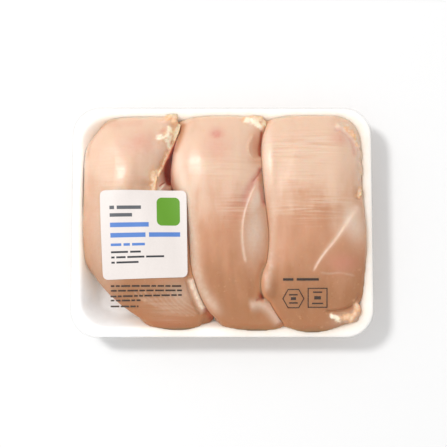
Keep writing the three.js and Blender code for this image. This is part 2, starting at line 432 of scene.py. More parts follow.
def breast_from(node, lobes, strings, chance):
    """A breast's solid as one fine soft mesh, with lobes of meat and strings of fat joined on."""
    deselect_all()
    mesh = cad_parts[node].data.copy()
    piece = bpy.data.objects.new(node.replace("breast", "chicken_breast"), mesh)
    piece.data.materials.clear()
    bpy.context.scene.collection.objects.link(piece)
    take_up(piece)
    bpy.ops.object.mode_set(mode="EDIT")
    bpy.ops.mesh.select_all(action="SELECT")
    bpy.ops.mesh.remove_doubles(threshold=WELD)
    bpy.ops.object.mode_set(mode="OBJECT")
    join_lumps(piece, lobes, BODY_SOFTENING)
    lumps = string_lumps(surface_below([piece]), strings, chance)
    join_lumps(piece, lumps, FAT_SOFTENING)
    apply_modifier(piece, "DISPLACE", strength=SWELLING, mid_level=0)
    return piece, lumps


def make_way(piece, upper):
    """Moves what would lie inside the piece on its right out through that piece's left flank, or, where
    that piece overhangs it, to just below."""
    tree = surface_below([upper])
    spots = read_vectors(piece.data.vertices, "co")
    for index, spot in enumerate(spots):
        nearest, facing, _, _ = tree.find_nearest(Vector(spot), LARGEST_OVERLAP)
        if nearest is not None and (Vector(spot) - nearest).dot(facing) < 0:
            if facing.z > OVERHANG:
                nearest, facing, _, _ = tree.ray_cast(Vector(spot), Vector((-1, 0, 0)))
            spots[index] = nearest + facing * CONTACT_GAP
    write_spots(piece, spots)


def keep_clear(piece, other):
    """Moves what the work has sunk a little way into the other piece back out to its surface."""
    tree = surface_below([other])
    spots = read_vectors(piece.data.vertices, "co")
    for index, spot in enumerate(spots):
        nearest, facing, _, _ = tree.find_nearest(Vector(spot), LARGEST_SINKING)
        if nearest is not None and (Vector(spot) - nearest).dot(facing) < 0:
            spots[index] = nearest + facing * CONTACT_GAP
    write_spots(piece, spots)


def pull_towards(spots, others, share):
    """How each spot is drawn to the others beside it, across its share of the gap, and how firmly."""
    tree = surface_below(others)
    moves, holds = np.zeros_like(spots), np.zeros(len(spots))
    for index in np.flatnonzero(spots[:, 2] > PRESSED_ABOVE):
        nearest, _, _, gap = tree.find_nearest(Vector(spots[index]), PRESSED_GAPS[1])
        if nearest is not None and gap > CONTACT_GAP:
            way = (np.array(nearest) - spots[index]) / gap
            holds[index] = 1 - smooth_step(*PRESSED_GAPS, gap)
            moves[index] = way * (gap - CONTACT_GAP) * share * holds[index]
    return moves, holds


def press_together(pieces, walls):
    """Closes the narrow gaps between neighbours, and between them and the tray's walls. Gives back
    how firmly each spot of each piece is pressed to a neighbour."""
    moved, pressed = [], []
    for index, piece in enumerate(pieces):
        spots = read_vectors(piece.data.vertices, "co")
        neighbours = pieces[max(0, index - 1):index] + pieces[index + 1:index + 2]
        beside, holds = pull_towards(spots, neighbours, 0.5)
        outward, _ = pull_towards(spots, [walls], 1)
        moved.append(spots + beside + outward)
        pressed.append(holds)
    for piece, spots in zip(pieces, moved):
        write_spots(piece, spots)
    return pressed


# Fibres that fan out over the left breast's tail: where each one starts, and its length.
TAIL_FIBRES = [(-70, 12), (-66, 17), (-62, 21), (-57, 24), (-53, 26), (-49, 27), (-45, 27), (-41, 25),
               (-37, 22)]


def work_left(bench):
    """Left: a crown near the outer side, and a torn fatty edge above the gap at the right."""
    bench.patch((-74, 36), (12, 16), lift=3)
    bench.patch((-102, 45), (14, 36), lift=-3)
    ridge = [(-40, 86), (-41, 74), (-44.5, 63), (-48.5, 54), (-53, 45), (-57, 36), (-59, 26)]
    bench.stroke(ridge, 9, lift=5)
    # Painted light: the outer left side, which faces the light, is painted paler.
    bench.patch((-98, -16), (12, 44), 8, pale=0.5)
    bench.patch((-66, 62), (13, 9), 15, blush=0.55)
    bench.patch((-52, 54), (9, 8), blush=0.25)
    bench.stroke([(-108, 48), (-107, 60), (-101, 72), (-92, 80), (-82, 83)], 1.4, lift=-0.4, tan=0.5)
    bench.stroke([(-95, 79), (-78, 78), (-62, 79)], 3, blush=0.25)
    edge = [(-34.5, 82), (-35.5, 74), (-38.8, 64), (-43, 55), (-47, 46), (-50.5, 39), (-53.5, 32),
            (-56.5, 20)]
    bench.stroke(edge, 3, lift=0.3, step=8, fade=12, fat=0.55)
    bench.patch((-44.5, 67.5), (6, 8), -20, fat=0.45, cream=0.4)
    bench.stroke([(-54, 67.5), (-48, 68), (-43.5, 66.5)], 2, lift=0.2, cream=0.5)
    bench.stroke([(-41, 77), (-42.5, 71), (-42, 60)], 3, lift=0.2, cream=0.5)
    # Painted shade along the right side of the gap below the torn edge.
    bench.stroke([(-33.5, 81), (-34.5, 74), (-37.5, 64), (-41, 57)], 2.2, tan=1, crease=1)
    # Painted light: the head's slope down to the torn edge is painted paler where it turns away from the
    # light.
    bench.stroke([(-49, 62), (-53, 52), (-57, 42), (-62, 32)], 7, sinew=0.2)
    bench.patch((-48, 72.5), (2.5, 1.6), blush=0.7)
    # Painted shade: the gap below the torn edge is pressed in deep and painted dark red.
    bench.stroke([(-35, 66), (-37.5, 60), (-40.5, 52), (-43.5, 44), (-43, 36), (-40, 27)], (2.4, 4.8),
                 lift=-5, deep=1)
    bench.patch((-49.5, 35), (3.5, 7), 20, blush=0.6, lift=1)
    bench.patch((-46.5, 27), (4, 5), blush=0.5, pale=0.3, lift=1)
    bench.stroke([(-50, 23.5), (-46.5, 28.5), (-43, 34.5)], 0.8, lift=0.7, sinew=0.75)
    # Painted shade in the slit beside the white sinew.
    bench.stroke([(-50.5, 27), (-47.5, 30), (-44.5, 33)], 0.7, lift=-0.8, deep=0.6)
    bench.stroke([(-84, 66), (-64, 56), (-50, 42)], 2.5, sinew=0.16)
    bench.stroke([(-80, 60), (-62, 48), (-52, 30)], 2, sinew=0.12)
    bench.stroke([(-25, -44), (-22, -54), (-18, -64), (-13, -73)], (3.6, 2.8),
                 lift=1.8, pale=1, cream=0.45)
    # Painted shade along the left side of the cream strip.
    bench.stroke([(-28.7, -46), (-26, -57), (-21.3, -68), (-16.5, -75)], 1.1, lift=-1.6, tan=0.8)
    # Painted shade in the gap at the tail's tip.
    bench.stroke([(-14, -68), (-11, -73), (-6, -80)], 3.6, lift=-1.5, deep=0.5, tan=1)
    for x, length in TAIL_FIBRES:
        bend = (x + 0.3 * length, -55 - 0.4 * length)
        end = (x + 0.9 * length, -55 - 0.78 * length)
        bench.stroke([(x, -55), bend, end], (0.5, 0.9), lift=-0.25, sinew=0.2)
    bench.patch((-33, -58), (12, 10), -35, pale=0.5)
    bench.patch((-46, -68), (20, 10), -35, pale=0.1, wrinkle=0.3)
    # The tail's front end is painted darker and redder: partly its own colour, partly painted shade.
    bench.patch((-44, -84), (32, 12), 8, tan=0.9, deep=0.26)
    bench.patch((-88, 30), (18, 34), wrinkle=0.25)


def work_middle(bench):
    """Middle: fat and a fold at the head's right corner, and a small muscle beside a white line."""
    bench.patch((8, 40), (22, 22), lift=0.9)
    bench.patch((-19, 48), (16, 12), lift=0.6)
    bench.patch((-30, 40), (9, 30), lift=-0.6)
    bench.patch((-4.5, 69), (6, 5), blush=1)
    bench.patch((-4, 59), (10, 12), blush=0.45)
    # Partly painted shade: the hollow at the head's right corner is pressed in and painted orange-brown
    # and warm dark red.
    bench.patch((28, 59), (5.5, 13), -4, lift=-2, tan=0.7, crease=1, blush=0.3)
    # Painted shade down the fold beside the hollow.
    bench.stroke([(32, 75), (31, 65), (30, 58), (30.5, 50)], (1.5, 2.4), lift=-1.4, deep=0.6, tan=1)
    bench.stroke([(26, 71), (21.5, 62), (21, 55), (24, 49.5), (31, 48)], 1.4, lift=0.8, cream=0.35)
    bench.stroke([(29.5, 29), (31.5, 20), (33.5, 10)], 1.8, blush=0.8)
    # Painted shade: reddish brown down the left flank beside the gap.
    bench.stroke([(-36, 68), (-39.5, 56), (-41.5, 44), (-41, 33), (-39, 24)], 2.6, blush=0.6, tan=0.5)
    bench.stroke([(32, 45), (28.5, 37), (24, 30), (20, 22), (15, 8)], (2, 4), lift=-1, blush=0.8)
    # Painted shade in the fold below the hollow.
    bench.stroke([(31.5, 42), (28, 36), (23.5, 30)], 1, lift=-0.6, deep=0.35)
    # Painted shade along the boundary with the right breast.
    bench.stroke([(31.5, 43), (31, 37), (31.5, 30), (33, 20), (34.5, 11)], 2.4,
                 lift=-1.8, tan=0.9, crease=0.9)
    white_line = [(27, 29), (23, 22), (19, 11), (16.2, -2), (15.8, -15), (17.2, -27), (19, -35)]
    bench.stroke(white_line, (0.9, 1.3), lift=0.15, step=0.7, fade=8, sinew=0.45)
    bench.patch((26, 14), (5, 13), -22, pale=1)
    bench.patch((25.5, -8), (8.5, 20), -4, pale=0.9)
    # Painted shade along the boundary with the right breast, lower down.
    bench.stroke([(33, -30), (31, -38), (30, -46), (30, -54), (31, -61)], 3, tan=1, crease=1)
    # Painted shade in the slit and the small pit by the tail.
    bench.stroke([(26, -63.5), (29, -62), (33, -61)], 1.4, lift=-1.2, deep=0.45, tan=1)
    bench.patch((31, -59.5), (2.8, 4), lift=-1.2, deep=0.75, tan=1)
    # Painted shade along the boundary down to the tail's end.
    bench.stroke([(33, -62), (40, -71), (48, -82)], 2, tan=1, crease=0.8)
    # Painted shade down the head's left flank beside the gap.
    bench.stroke([(-31.5, 81), (-32.8, 72), (-36, 63), (-40, 54)], 2.8, tan=1, crease=0.9)
    # A raised crescent on the tail, painted paler: partly pale tissue, partly a painted highlight.
    bench.stroke([(20, -68), (29, -66.5), (36, -69), (42, -76), (46, -82)], 4.2, lift=1.6, pale=0.7)
    # The tail's front end is painted browner: partly its own colour, partly painted shade.
    bench.stroke([(16, -72), (26, -72.5), (36, -79)], 2.6, tan=0.3)
    bench.patch((2, -80), (20, 6), tan=0.3)
    bench.patch((10, 12), (12, 14), wrinkle=0.7, blush=0.25)
    bench.patch((0, 42), (26, 12), wrinkle=0.35)
    # Painted light: the left flank beside the label is painted paler, against the label's shadow and the
    # pressed contact.
    bench.stroke([(-35, 44), (-28, 20), (-24, -8), (-21.5, -34), (-15, -56), (2, -78)], 4.5, sinew=0.55)
    for x, top, low in ((-12, -8, -66), (-2, -2, -76), (8, -20, -80), (22, -36, -82)):
        bench.stroke([(x, top), (x + 2, (top + low) / 2), (x + 6, low)], 3, lift=-0.35, tan=0.12)


def work_right(bench):
    """Right: fine wrinkles across the head, a long white line, and a folded fatty end at the front."""
    bench.patch((37, 46), (6, 30), lift=2.4)
    # Painted highlight: a bright band on the left shoulder.
    bench.patch((35.5, 44), (4.5, 28), sinew=0.75)
    bench.patch((66, 57), (27, 12), wrinkle=1)
    bench.patch((74, 11), (26, 11), wrinkle=1)
    bench.patch((60, 34), (24, 14), wrinkle=0.5)
    bench.patch((94, 66), (7, 5), -20, blush=0.6)
    bench.patch((102, 69), (13, 6), -50, pale=0.75, fat=0.15)
    edge = [(90, 80), (100, 74.5), (107, 66), (110, 55), (110.5, 44), (108.5, 32), (107, 26)]
    bench.stroke(edge, 3, lift=0.3, pale=0.7, fat=0.2)
    bench.stroke([(88, 74), (98, 69), (104, 61), (106, 50)], 1.6, lift=-0.5, blush=0.5)
    bench.stroke([(113, 27), (108.5, 22.5), (107.5, 16)], 2.2, lift=-2, tan=0.7)
    white_line = [(108.5, 14), (104.5, 7), (99.5, 0), (90.5, -13.5), (82, -24), (75, -34), (71, -42)]
    bench.stroke(white_line, (3.8, 0.8), lift=0.2, step=0.8, fade=12, sinew=0.5)
    bench.patch((104, -4), (9, 14), 20, pale=0.9, lift=0.6)
    bench.patch((95, -34), (12, 7), blush=0.55)
    bench.stroke([(76, -41), (84, -42), (94, -41.5), (106, -44)], 0.8, lift=0.1, sinew=0.25)
    bench.stroke([(115, 8), (116, -4), (115, -16)], 2.4, fat=0.4, tan=0.5)
    # Painted shade in the fold across the front end.
    bench.stroke([(109, -56), (105, -65), (98, -69.5), (90, -71), (80, -71.5)], (1.6, 1),
                 lift=-2, tan=1, deep=0.25)
    bench.patch((98, -77), (12, 4.5), 20, pale=0.5, fat=0.2, lift=0.6)
    # The tail's front end is painted browner: partly its own colour, partly painted shade.
    bench.patch((74, -84), (12, 5), tan=0.25)
    # The band along the left flank is painted paler: partly pale membrane, partly a painted highlight.
    bench.stroke([(36, 34), (39, 14), (40, -8), (37, -40), (34, -60)], (4, 2.5), sinew=0.4)
    for x, top, low in ((46, -22, -70), (56, -34, -80), (68, -46, -82)):
        bench.stroke([(x, top), (x - 2, (top + low) / 2), (x + 1, low)], 3, lift=-0.3, tan=0.1)


# Lobes: place, half sizes and turn. Strings of lumps: mark, line, spread, size of a lump and count.
BREAST_WORK = {
    "breast_left": {
        "work": work_left,
        "lobes": [((-47.5, 28, 27), (6, 12, 5.5), 12), ((-43, 49, 22), (6, 22, 6.5), 0),
                  ((-14, -73, 24), (11, 6.5, 6.5), 25)],
        "strings": [
            ("fat", [(-43, 83), (-40.5, 85.5), (-38, 83)], 1, 2, 7),
            ("fat", [(-37, 79), (-36.5, 73), (-39.5, 65)], 1.4, 2.1, 8),
            ("fat", [(-41, 65), (-44.6, 55), (-48.6, 45), (-52, 38)], 1, 1.8, 8),
            ("fat", [(-51.5, 40), (-54.5, 33), (-56, 26)], 1.2, 2.5, 4),
            ("cream", [(-52, 67.5), (-43, 67)], 1.8, 1.2, 7),
            ("cream", [(-41.5, 76), (-43, 68), (-43, 60)], 1.7, 1.4, 10),
        ],
    },
    "breast_middle": {
        "work": work_middle,
        "lobes": [((-32, 75, 24), (6, 8, 8), 0), ((33, 77, 26), (5, 7, 7), 0)],
        "strings": [
            ("fat", [(19, 82.5), (26, 82), (33, 79)], 1.5, 2.2, 9),
            ("cream", [(19, 81), (25, 80.5), (31, 77)], 1.4, 1.8, 10),
        ],
    },
    "breast_right": {
        "work": work_right,
        "lobes": [((100, -74, 30), (10, 5, 4.5), 25), ((40, 74, 27), (6.5, 8, 9), 0),
                  ((36.5, -48, 30), (9, 18, 9), 0)],
        "strings": [
            ("pale", [(95, 76), (101, 72), (106, 66)], 2, 2.2, 9),
            ("pale", [(106, 66), (109, 55), (110, 44), (108, 34)], 1.2, 1.7, 10),
            ("fat", [(98, 76), (104, 70), (109, 60)], 1.6, 1.2, 5),
            ("fat", [(109, 24), (107.5, 18)], 0.5, 1.6, 3),
            ("pale", [(91, -77.5), (99, -77.5), (104, -74), (108, -67)], 1, 2.4, 8),
            ("fat", [(96, -77), (104, -75), (108, -66)], 1, 1.6, 4),
            ("cream", [(87, -75), (91, -77)], 0.6, 1.8, 3),
        ],
    },
}
chance = random.Random(SEED)
joined = []
for node, plan in BREAST_WORK.items():
    joined.append(breast_from(node, plan["lobes"], plan["strings"], chance))
breasts = [breast for breast, _ in joined]
for lower, upper in zip(breasts, breasts[1:]):
    make_way(lower, upper)
pressed = press_together(breasts, tray)
for (breast, lumps), plan, holds in zip(joined, BREAST_WORK.values(), pressed):
    bench = Bench(breast)
    # Painted shade where each breast is pressed against its neighbour: the firmer the press, the more.
    bench.marks["crease"] = holds
    for place, reach, turn, mark_name in lumps:
        spread = (reach[0] * LUMP_MARK[0], reach[1] * LUMP_MARK[0])
        bench.patch(place[:2], spread, turn, **{mark_name: LUMP_MARK[1]})
    plan["work"](bench)
    for relief_height, grain_size, mark_name in RELIEF:
        bench.swell(relief_height, grain_size, mark_name)
    bench.done()
    take_up(breast)
    bpy.ops.object.shade_smooth()
for lower, upper in zip(breasts, breasts[1:]):
    keep_clear(lower, upper)
for breast in breasts:
    keep_clear(breast, tray)

# Painted light and shade: the foam close beside the meat is painted a warmer, darker peach, for the shade
# there and the light that the meat bounces onto it.
meat_tree = surface_below(breasts)
damp = []
for vertex in tray.data.vertices:
    gap = meat_tree.find_nearest(vertex.co, DAMP_REACH)[3]
    damp.append(0 if gap is None or vertex.co.z < DAMP_ABOVE else 1 - gap / DAMP_REACH)
tray.data.attributes.new("damp", "FLOAT", "POINT").data.foreach_set("value", damp)

FLESH_LIGHT = (0.69, 0.487, 0.358, 1)
# Rosier, darker flesh lower down and towards the tails: partly its own colour, partly painted shade.
FLESH_ROSY = (0.54, 0.277, 0.155, 1)
FLESH_TAIL = (0.40, 0.178, 0.074, 1)
FLESH_BLUSH = (0.598, 0.241, 0.183, 1)
# Painted shade: the dark red of the flesh down in gaps, notches and pits.
FLESH_DEEP = (0.37, 0.045, 0.008, 1)
# Painted shade: a warm darker red where a flank is pressed against its neighbour.
FLESH_CREASE = (0.64, 0.26, 0.115, 1)
# Orange-brown: partly tissue, partly painted shade in folds, grooves, hollows and tail ends.
FLESH_TAN = (0.415, 0.174, 0.071, 1)
# Pale of fascia, also laid as painted light on a lit flank and as a painted highlight on a rim.
FASCIA_PALE = (0.68, 0.555, 0.455, 1)
FAT_AMBER = (0.705, 0.415, 0.224, 1)
FAT_CREAM = (0.79, 0.62, 0.45, 1)
FAT_PALE = (0.86, 0.77, 0.62, 1)
# White of sinew, also laid on a few flanks as painted highlights and painted light.
SINEW_WHITE = (0.78, 0.665, 0.55, 1)

# The flesh turns rosier and darker from the second height down to the first, and from the heads to the
# tails: partly its own colour, partly painted shade on the low flanks and tail ends that slope away from
# the light.
ROSY_HEIGHTS = (24 * MM, 43 * MM)
TAIL_TO_HEAD = (-100 * MM, 75 * MM)

meat, sheet = new_material("raw_breast_meat")
place = sheet.node("ShaderNodeTexCoord", output=3)
height = sheet.node("ShaderNodeSeparateXYZ", None, {0: place}, output=2)
toward_head = sheet.node("ShaderNodeSeparateXYZ", None, {0: place}, output=1)
mark = {name: sheet.node("ShaderNodeAttribute", {"attribute_name": name}, output=2) for name in MARKS}
blotches = grain(sheet, (0.06, 0.03, 0.06), detail=3)
bands = grain(sheet, (0.12, 0.02, 0.1), detail=2, distortion=1)
fibres = grain(sheet, (0.8, 0.12, 0.5), detail=3, distortion=1)
creases = grain(sheet, (0.03, 0.6, 0.05), detail=2, distortion=0.25)
mottle = grain(sheet, (0.45, 0.45, 0.45), detail=4)
tatters = grain(sheet, (0.3, 0.3, 0.3), detail=5, roughness=0.65)

lowness = 1 - height.ramp(*ROSY_HEIGHTS)
tailward = 1 - toward_head.ramp(*TAIL_TO_HEAD)
unevenness = (blotches - 0.5) * 0.8 + (bands - 0.5) * 0.15 + (fibres - 0.5) * 0.06
# Partly painted shade: lower down and towards the tails, the flesh is painted rosier and darker.
rosiness = lowness * 0.2 + tailward * 1.18 + unevenness
colour = rosiness.ramp(0.05, 0.6).mix(FLESH_LIGHT, FLESH_ROSY)
colour = rosiness.ramp(0.5, 1.2).mix(colour, FLESH_TAIL)
# Painted shade where flanks are pressed together.
colour = (mark["crease"] * 0.6).mix(colour, FLESH_CREASE)
# Orange-brown, partly tissue and partly painted shade in folds, grooves and hollows.
colour = (mark["tan"] * 0.85).mix(colour, FLESH_TAN)
# Pale fascia, and in two places painted light and a painted highlight.
colour = (mark["pale"] * (0.55 + mottle * 0.5)).mix(colour, FASCIA_PALE)
colour = (mark["blush"] * (mottle * 0.8 + 0.4)).mix(colour, FLESH_BLUSH)
# Painted light and shade on the fine wrinkles: crests painted paler and troughs darker, on top of their
# bump.
colour = (mark["wrinkle"] * creases.ramp(0.45, 0.7) * 0.4).mix(colour, SINEW_WHITE)
colour = (mark["wrinkle"] * (1 - creases.ramp(0.3, 0.5)) * 0.3).mix(colour, FLESH_TAN)
fattiness = mark["fat"] + (tatters - 0.5) * 1.3
colour = fattiness.ramp(0.1, 0.55).mix(colour, FAT_AMBER)
colour = fattiness.ramp(0.35, 0.95).mix(colour, FAT_CREAM)
# White sinew, and painted highlights and painted light on a few flanks.
colour = (mark["sinew"] * (0.35 + tatters * 0.9)).mix(colour, SINEW_WHITE)
colour = (mark["cream"] + (tatters - 0.5) * 1.1).ramp(0.2, 0.8).mix(colour, FAT_PALE)
# Painted shade in gaps, notches and pits.
colour = mark["deep"].ramp(0.1, 0.8).mix(colour, FLESH_DEEP)

relief = fibres * 0.1 + creases * (mark["wrinkle"] * 2.4 + 0.1) + mottle * (mark["fat"] * 0.6 + 0.15)
surface = sheet.node("ShaderNodeBump", None, {"Strength": 0.6, "Distance": 0.45 * MM, "Height": relief})
finish_material(sheet, sheet.node("ShaderNodeBsdfPrincipled", None, {
    "Base Color": colour,
    "Roughness": mottle * 0.2 + 0.36,
    "Subsurface Weight": 0.7,
    "Subsurface Scale": 7 * MM,
    "Subsurface Radius": (1, 0.42, 0.26),
    "IOR": 1.4,
    "Specular IOR Level": 0.2,
    # The coat is left off where the shade of gaps, notches and pits is painted.
    "Coat Weight": (1 - mark["deep"]) * 0.45,
    "Coat Roughness": 0.36,
    "Coat IOR": 1.45,
    "Normal": surface,
}))
for breast, node in zip(breasts, BREAST_WORK):
    breast.data.materials.append(meat)
    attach(breast, "root")
    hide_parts(node)

# Film. Clear stretch film, pulled tight over meat and rim and down the walls, and folded in under the
# tray, where it clings to itself. It touches the meat's crowns and the rim, and hangs taut between them.
# Its folds under the tray are out of sight, so here it ends a little way inside the foot.
FILM_COLUMNS, FILM_ROWS = 201, 155
FILM_RIM_HEIGHT = 32.25 * MM
FILM_GAP = 0.2 * MM
# The film is drawn taut by so many rounds of levelling. Each goes past the level by a factor, so that
# the film settles sooner, and draws it down a little.
TIGHTENING = 900
OVERSHOOT = 1.88
CLINGING = 0.008 * MM
# Pleats: their depth, how many gather round a full turn, the grain in mm of the loose folds, how far from
# a corner they begin, and the heights in mm between which they grow, below the rim and above the foot.
PLEAT_DEPTH = 0.55 * MM
PLEATS_PER_TURN = 22
FOLD_GRAIN = (9, 9, 40)
GATHER_REACH = 30 * MM
PLEAT_TOP = (31, 20)
PLEAT_FOOT = (0.5, 5)
# Insets from the rim's outermost edge, and heights, from the shoulder down and in under the foot.
FILM_SKIRT = [(-0.1, 31.9), (-0.45, 31), (-0.55, 29.8), (-0.4, 28.6), (0.4, 26.9), (2.7, 23), (5, 19),
              (7.4, 15), (9.7, 11), (12, 7), (14.3, 3), (15.4, 1.2), (17.2, 0.35), (20, 0.12), (28, 0.1),
              (36, 0.12), (44, 0.9), (54, 1)]
SHOULDER_INSET = 1 * MM
RIM_WIDTH = 0.5 * MM


def pull_corners_in(x, y, reach, corner):
    """Turns a square-cornered sheet into one with round corners, ring by ring, most at its edge."""
    ring = np.maximum(np.abs(x) / reach[0], np.abs(y) / reach[1])
    radius = corner * ring ** 3
    middle_x, middle_y = reach[0] * ring - radius, reach[1] * ring - radius
    over_x, over_y = np.abs(x) - middle_x, np.abs(y) - middle_y
    in_corner = (over_x > 0) & (over_y > 0)
    length = np.hypot(over_x, over_y) + 1e-9
    pull = np.where(in_corner, np.maximum(over_x, over_y) / length, 1)
    new_x = np.where(in_corner, np.sign(x) * (middle_x + over_x * pull), x)
    new_y = np.where(in_corner, np.sign(y) * (middle_y + over_y * pull), y)
    return new_x, new_y


def new_sheet(name, columns, rows, reach, corner):
    """A flat rectangular sheet of small squares with rounded corners, and its vertices' places."""
    deselect_all()
    bpy.ops.mesh.primitive_grid_add(x_subdivisions=columns - 1, y_subdivisions=rows - 1, size=2)
    piece = bpy.context.object
    piece.name = name
    piece.scale = (reach[0], reach[1], 1)
    settle_in_place(piece)
    spots = read_vectors(piece.data.vertices, "co")
    spots[:, 0], spots[:, 1] = pull_corners_in(spots[:, 0], spots[:, 1], reach, corner)
    return piece, spots


def read_grid(heights, spots, reach):
    """The height at each spot, read between the points of an even grid over the whole sheet."""
    last_row, last_column = np.array(heights.shape) - 1
    row = np.clip((spots[:, 1] / reach[1] + 1) / 2 * last_row, 0, last_row - 1e-6)
    column = np.clip((spots[:, 0] / reach[0] + 1) / 2 * last_column, 0, last_column - 1e-6)
    low, left = row.astype(int), column.astype(int)
    up, right = row - low, column - left
    before = heights[low, left] * (1 - right) + heights[low, left + 1] * right
    behind = heights[low + 1, left] * (1 - right) + heights[low + 1, left + 1] * right
    return before * (1 - up) + behind * up


shoulder_reach = TRAY_REACH - Vector((SHOULDER_INSET, SHOULDER_INSET))
film, spots = new_sheet("clear_film", FILM_COLUMNS, FILM_ROWS, shoulder_reach, TRAY_CORNER)
columns = np.linspace(-shoulder_reach.x, shoulder_reach.x, FILM_COLUMNS)
rows = np.linspace(-shoulder_reach.y, shoulder_reach.y, FILM_ROWS)
support = np.array([[drop_on(meat_tree, x, y, 0) for x in columns] for y in rows]) + FILM_GAP
past_x = np.maximum(np.abs(columns) - (shoulder_reach.x - TRAY_CORNER), 0)
past_y = np.maximum(np.abs(rows) - (shoulder_reach.y - TRAY_CORNER), 0)
on_rim = np.hypot(past_x[None, :], past_y[:, None]) >= TRAY_CORNER - RIM_WIDTH
taut = np.maximum(support, FILM_RIM_HEIGHT)
support = np.where(on_rim, FILM_RIM_HEIGHT, taut)
row_index, column_index = np.indices(taut.shape)
for sweep in range(TIGHTENING * 2):
    mean = (np.roll(taut, 1, 0) + np.roll(taut, -1, 0) + np.roll(taut, 1, 1) + np.roll(taut, -1, 1)) / 4
    its_turn = (row_index + column_index) % 2 == sweep % 2
    moved = np.maximum(taut + OVERSHOOT * (mean - CLINGING - taut), support)
    taut = np.where(its_turn & ~on_rim, moved, taut)
    taut[on_rim] = FILM_RIM_HEIGHT
spots[:, 2] = read_grid(taut, spots, shoulder_reach)
write_spots(film, spots)

take_up(film)
bpy.ops.object.mode_set(mode="EDIT")
pick(film, "edges", lambda edge: edge.is_boundary)
draw_out(bpy.ops.mesh.extrude_edges_move, FILM_SKIRT, SHOULDER_INSET, FILM_RIM_HEIGHT)
bpy.ops.mesh.select_all(action="SELECT")
bpy.ops.mesh.normals_make_consistent(inside=False)
bpy.ops.object.mode_set(mode="OBJECT")
bpy.ops.object.shade_smooth()
film_tree = surface_below([film])

# Pleats: the film gathers round the corners of the tray, and is drawn into faint folds along its walls.
spots = read_vectors(film.data.vertices, "co")
beyond = np.abs(spots[:, :2]) - (TRAY_REACH - Vector((TRAY_CORNER, TRAY_CORNER)))
bearing = np.arctan2(np.maximum(beyond[:, 1], 0), np.maximum(beyond[:, 0], 0) + 1e-9)
near_corner = smooth_step(-GATHER_REACH, 0, beyond.min(axis=1))
down_wall = smooth_step(*PLEAT_TOP, spots[:, 2] / MM) * smooth_step(*PLEAT_FOOT, spots[:, 2] / MM)
gathers = np.cos(bearing * PLEATS_PER_TURN) * near_corner
folds = np.array([noise.noise(Vector(spot / FOLD_GRAIN)) for spot in spots / MM])
outward = spots[:, :2] / np.linalg.norm(spots[:, :2] + 1e-9, axis=1)[:, None]
spots[:, :2] += outward * (PLEAT_DEPTH * down_wall * (gathers + folds))[:, None]
write_spots(film, spots)

clear, sheet = new_material("clear_stretch_film")
waves = grain(sheet, (0.05, 0.05, 0.05), detail=2)
tension = sheet.node("ShaderNodeBump", None, {"Strength": 0.12, "Distance": 1 * MM, "Height": waves})
gloss = sheet.node("ShaderNodeBsdfGlossy", None, {
    "Color": (1, 1, 1, 1), "Roughness": 0.32, "Normal": tension})
through = sheet.node("ShaderNodeBsdfTransparent", None, {"Color": (1, 1, 1, 1)})
shine = sheet.node("ShaderNodeFresnel", None, {"IOR": 1.45})
shine = sheet.maths("MINIMUM", shine * 0.47, 0.22)
finish_material(sheet, sheet.node("ShaderNodeMixShader", None, {0: shine, 1: through, 2: gloss}))
film.data.materials.append(clear)
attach(film, "root")
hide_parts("film")

# Label. Coated white paper with round corners, stuck on the film over the left breast, so it follows
# the film's curve. Its print is plain: a green block, and grey, blue and thin dark bars.
LABEL_CORNERS = {"back_left": (-97.2, 23.8), "back_right": (-28.4, 23.8),
                 "front_left": (-94.4, -46.8), "front_right": (-27.4, -44.6)}
LABEL_GRID = 49
LABEL_ROUNDING = 0.12
LABEL_SHARP_EDGE = 40
LABEL_LIFT = 0.15 * MM
PAPER_THICKNESS = 0.15 * MM
PAPER_WHITE = (0.69, 0.635, 0.605, 1)
PRINT_GREEN = (0.10, 0.27, 0.01, 1)
PRINT_BLUE = (0.08, 0.19, 0.50, 1)
PRINT_GREY = (0.085, 0.09, 0.10, 1)
PRINT_DARK = (0.03, 0.03, 0.035, 1)
# Bars of print: colour, then left, right, low and high in parts of the label's width and height.
LABEL_PRINT = [
    (PRINT_GREY, 0.11, 0.165, 0.785, 0.825), (PRINT_GREY, 0.195, 0.475, 0.785, 0.825),
    (PRINT_GREY, 0.11, 0.37, 0.70, 0.74),
    (PRINT_BLUE, 0.11, 0.56, 0.583, 0.635),
    (PRINT_BLUE, 0.11, 0.52, 0.467, 0.519), (PRINT_BLUE, 0.56, 0.92, 0.467, 0.519),
    (PRINT_BLUE, 0.11, 0.235, 0.372, 0.402), (PRINT_BLUE, 0.26, 0.335, 0.372, 0.402),
    (PRINT_BLUE, 0.36, 0.51, 0.372, 0.402),
    (PRINT_DARK, 0.11, 0.31, 0.293, 0.315), (PRINT_DARK, 0.335, 0.46, 0.293, 0.315),
    (PRINT_DARK, 0.11, 0.15, 0.235, 0.257), (PRINT_DARK, 0.17, 0.28, 0.235, 0.257),
    (PRINT_DARK, 0.30, 0.50, 0.235, 0.257), (PRINT_DARK, 0.52, 0.73, 0.235, 0.257),
    (PRINT_DARK, 0.11, 0.15, 0.177, 0.199), (PRINT_DARK, 0.17, 0.43, 0.177, 0.199),
]
LABEL_BLOCK = {"ink": PRINT_GREEN, "middle": (0.787, 0.757), "half": (0.134, 0.162), "rounding": 0.06}

